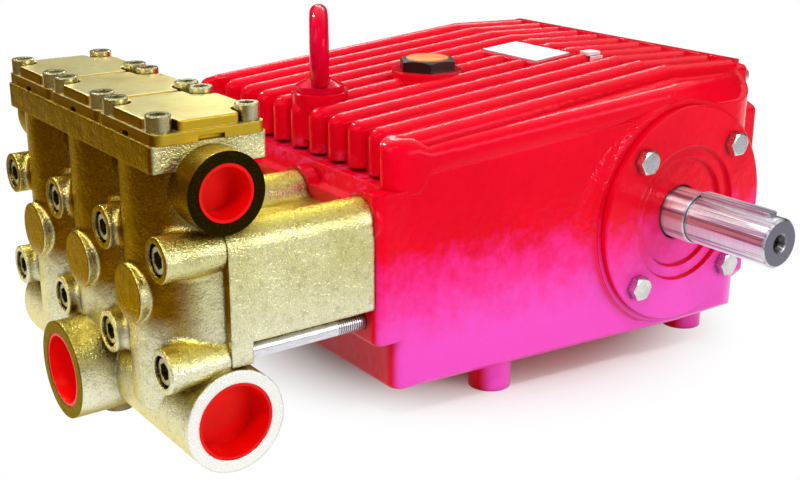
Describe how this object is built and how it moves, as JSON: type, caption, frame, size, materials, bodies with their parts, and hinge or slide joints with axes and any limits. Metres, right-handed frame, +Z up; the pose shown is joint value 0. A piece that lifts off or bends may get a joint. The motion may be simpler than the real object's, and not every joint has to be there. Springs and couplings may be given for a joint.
{
  "type": "plunger pump",
  "caption": "Horizontal plunger pump with a ribbed red crankcase, keyed drive shaft, gold-toned cast fluid end and plugged ports.",
  "frame": {"origin": "centre of the four feet's threaded holes, on the plane of the feet", "axes": "+Z up, +X from the fluid end to the rear of the crankcase, -Y along the drive shaft, out of its end"},
  "size_m": [0.6237, 0.4885, 0.309],
  "materials": {
    "red_paint": "glossy enamel on cast iron",
    "plated_casting": "grainy sand casting with a pale plated skin",
    "gold_cover": "smooth casting, machined on top",
    "zinc_steel": "bright zinc",
    "ground_steel": "ground and polished",
    "red_plastic": "moulded, slightly glossy",
    "painted_eye": "glossy enamel",
    "black_plastic": "moulded",
    "orange_plastic": "moulded",
    "seal_rubber": "dull",
    "bare_aluminium": "satin",
    "level_glass": "clear window"
  },
  "bodies": {
    "pump": {"crankcase": "red_paint", "rear_cover": "red_paint", "drive_side_cover": "red_paint", "far_side_cover": "red_paint", "valve_casing": "plated_casting", "plunger_casing": "plated_casting", "valve_cover_1": "gold_cover", "valve_cover_2": "gold_cover", "valve_cover_3": "gold_cover", "upper_studs": "zinc_steel", "lower_studs": "zinc_steel", "valve_cover_screws_1": "zinc_steel", "valve_cover_screws_2": "zinc_steel", "valve_cover_screws_3": "zinc_steel", "rear_cover_screws": "zinc_steel", "drive_cover_bolts": "zinc_steel", "far_cover_bolts": "zinc_steel", "oil_drain_plug": "zinc_steel", "suction_plug_near": "red_plastic", "suction_plug_far": "red_plastic", "suction_plug_front": "red_plastic", "discharge_plug_near": "red_plastic", "discharge_plug_far": "red_plastic", "lifting_eye": "painted_eye", "oil_filler_plug": "black_plastic", "filler_insert": "orange_plastic", "shaft_seal": "seal_rubber", "bare_plate": "bare_aluminium", "oil_level_glass": "level_glass"},
    "shaft": {"drive_shaft": "ground_steel", "shaft_key": "ground_steel"}
  },
  "joints": [
    {"name": "drive_shaft_spin", "type": "hinge", "parent": "pump", "child": "shaft", "pos_m": [0.057, -0.1, 0.131], "axis": [0, -1, 0], "continuous": true}
  ]
}
